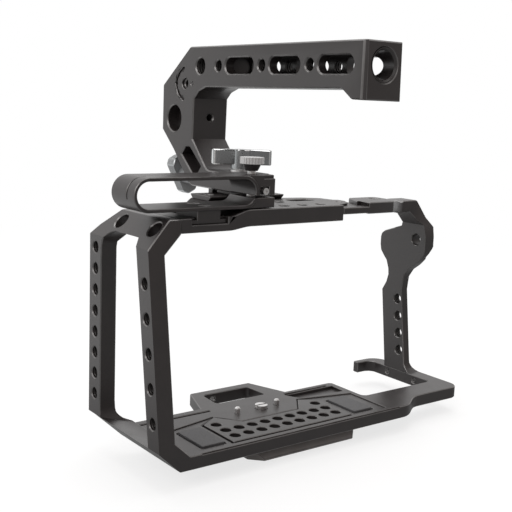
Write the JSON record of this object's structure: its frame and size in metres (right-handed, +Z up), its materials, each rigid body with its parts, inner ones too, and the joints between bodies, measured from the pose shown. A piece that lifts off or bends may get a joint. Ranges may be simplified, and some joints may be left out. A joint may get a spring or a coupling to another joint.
{
  "type": "camera cage",
  "caption": "Bolted metal camera cage with a sliding top handle, an accessory shoe holding a drive clamp, side threads and a quick-release dovetail base.",
  "frame": {"origin": "centre of the 1/4 inch tripod thread at the underside of the dovetail plate", "axes": "+X towards the grip side, +Y towards the lens, +Z up"},
  "size_m": [0.2057, 0.1542, 0.193],
  "materials": {
    "cage_black": "black anodised, satin",
    "insert_black": "black anodised, satin",
    "pad_rubber": "matt",
    "steel": "bright",
    "knob_grey": "grey anodised, satin"
  },
  "bodies": {
    "cage": {"base_plate": "cage_black", "left_frame": "cage_black", "top_plate": "cage_black", "grip_frame": "cage_black", "vent_panel": "insert_black", "camera_pads": "pad_rubber", "locating_pins": "steel", "dovetail_plate": "cage_black", "dovetail_screws": "steel", "frame_screws": "steel", "accessory_rail": "cage_black", "rail_screws": "steel"},
    "handle": {"handle_frame": "cage_black", "rod_socket": "insert_black", "handle_pin": "steel", "foot_washer": "steel"},
    "jaw": {"clamp_jaw": "insert_black"},
    "clamp_knob": {"clamp_stud": "steel", "clamp_knob": "knob_grey"},
    "foot_knob": {"foot_knob": "knob_grey", "foot_stud": "steel"},
    "drive_clamp": {"drive_band": "cage_black", "shoe_foot": "insert_black", "foot_screws": "steel", "pocket_screw": "steel"},
    "thumb_screw": {"thumb_screw": "steel", "thumb_cone": "insert_black"},
    "camera_screw": {"camera_screw": "steel"}
  },
  "joints": [
    {"name": "handle_slide", "type": "slide", "parent": "cage", "child": "handle", "axis": [1, 0, 0], "range_m": [-0.01, 0.016]},
    {"name": "jaw_slide", "type": "slide", "parent": "handle", "child": "jaw", "axis": [0, 1, 0], "range_m": [0, 0.0021]},
    {"name": "clamp_knob_turn", "type": "hinge", "parent": "handle", "child": "clamp_knob", "pos_m": [-0.01665, 0.0743, 0.1271], "axis": [0, 1, 0], "range_deg": [0, 720]},
    {"name": "foot_knob_turn", "type": "hinge", "parent": "handle", "child": "foot_knob", "pos_m": [-0.01665, 0.0243, 0.138], "axis": [0, 0, 1], "continuous": true},
    {"name": "drive_slide", "type": "slide", "parent": "cage", "child": "drive_clamp", "axis": [0, 1, 0], "range_m": [-0.018, 0]},
    {"name": "thumb_screw_turn", "type": "hinge", "parent": "drive_clamp", "child": "thumb_screw", "pos_m": [-0.0286, -0.0007, 0.128], "axis": [0, 0, 1], "continuous": true},
    {"name": "camera_screw_turn", "type": "hinge", "parent": "cage", "child": "camera_screw", "pos_m": [-0.0093, 0.0097, 0.011], "axis": [0, 0, 1], "continuous": true}
  ],
  "couplings": [
    {"joint": "jaw_slide", "follows": "clamp_knob_turn", "m_per_rad": 0.00015915}
  ]
}
